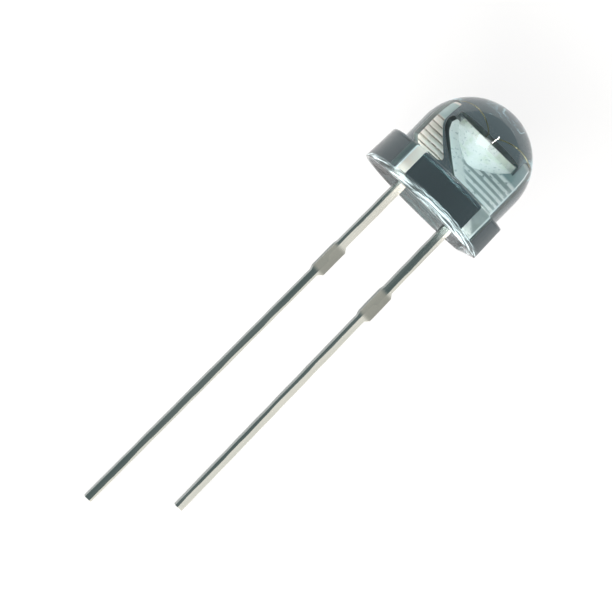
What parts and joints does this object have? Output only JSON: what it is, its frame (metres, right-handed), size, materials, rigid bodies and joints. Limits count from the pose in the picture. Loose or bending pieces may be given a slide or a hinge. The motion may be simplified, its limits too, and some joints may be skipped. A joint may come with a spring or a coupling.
{
  "type": "through hole LED",
  "caption": "Round clear through-hole LED lying on its leads: water-clear epoxy lens with a flanged rim over a reflector cup, a flat marking the cathode, and two long tinned leads",
  "frame": {"origin": "On the table under the middle of the LED as it lies, +Z up", "axes": "+X runs along the LED from its lead tips toward its dome; +Y is the side of the anode lead"},
  "size_m": [0.0222, 0.0058, 0.0062],
  "materials": {
    "lens_body": "gloss",
    "anode_lead": "satin",
    "cathode_lead": "satin",
    "die": "gloss",
    "anode_bond_wire": "polished",
    "cathode_bond_wire": "polished"
  },
  "bodies": {
    "root": {"lens_body": "lens_body", "anode_lead": "anode_lead", "cathode_lead": "cathode_lead", "die": "die", "anode_bond_wire": "anode_bond_wire", "cathode_bond_wire": "cathode_bond_wire"}
  },
  "joints": []
}
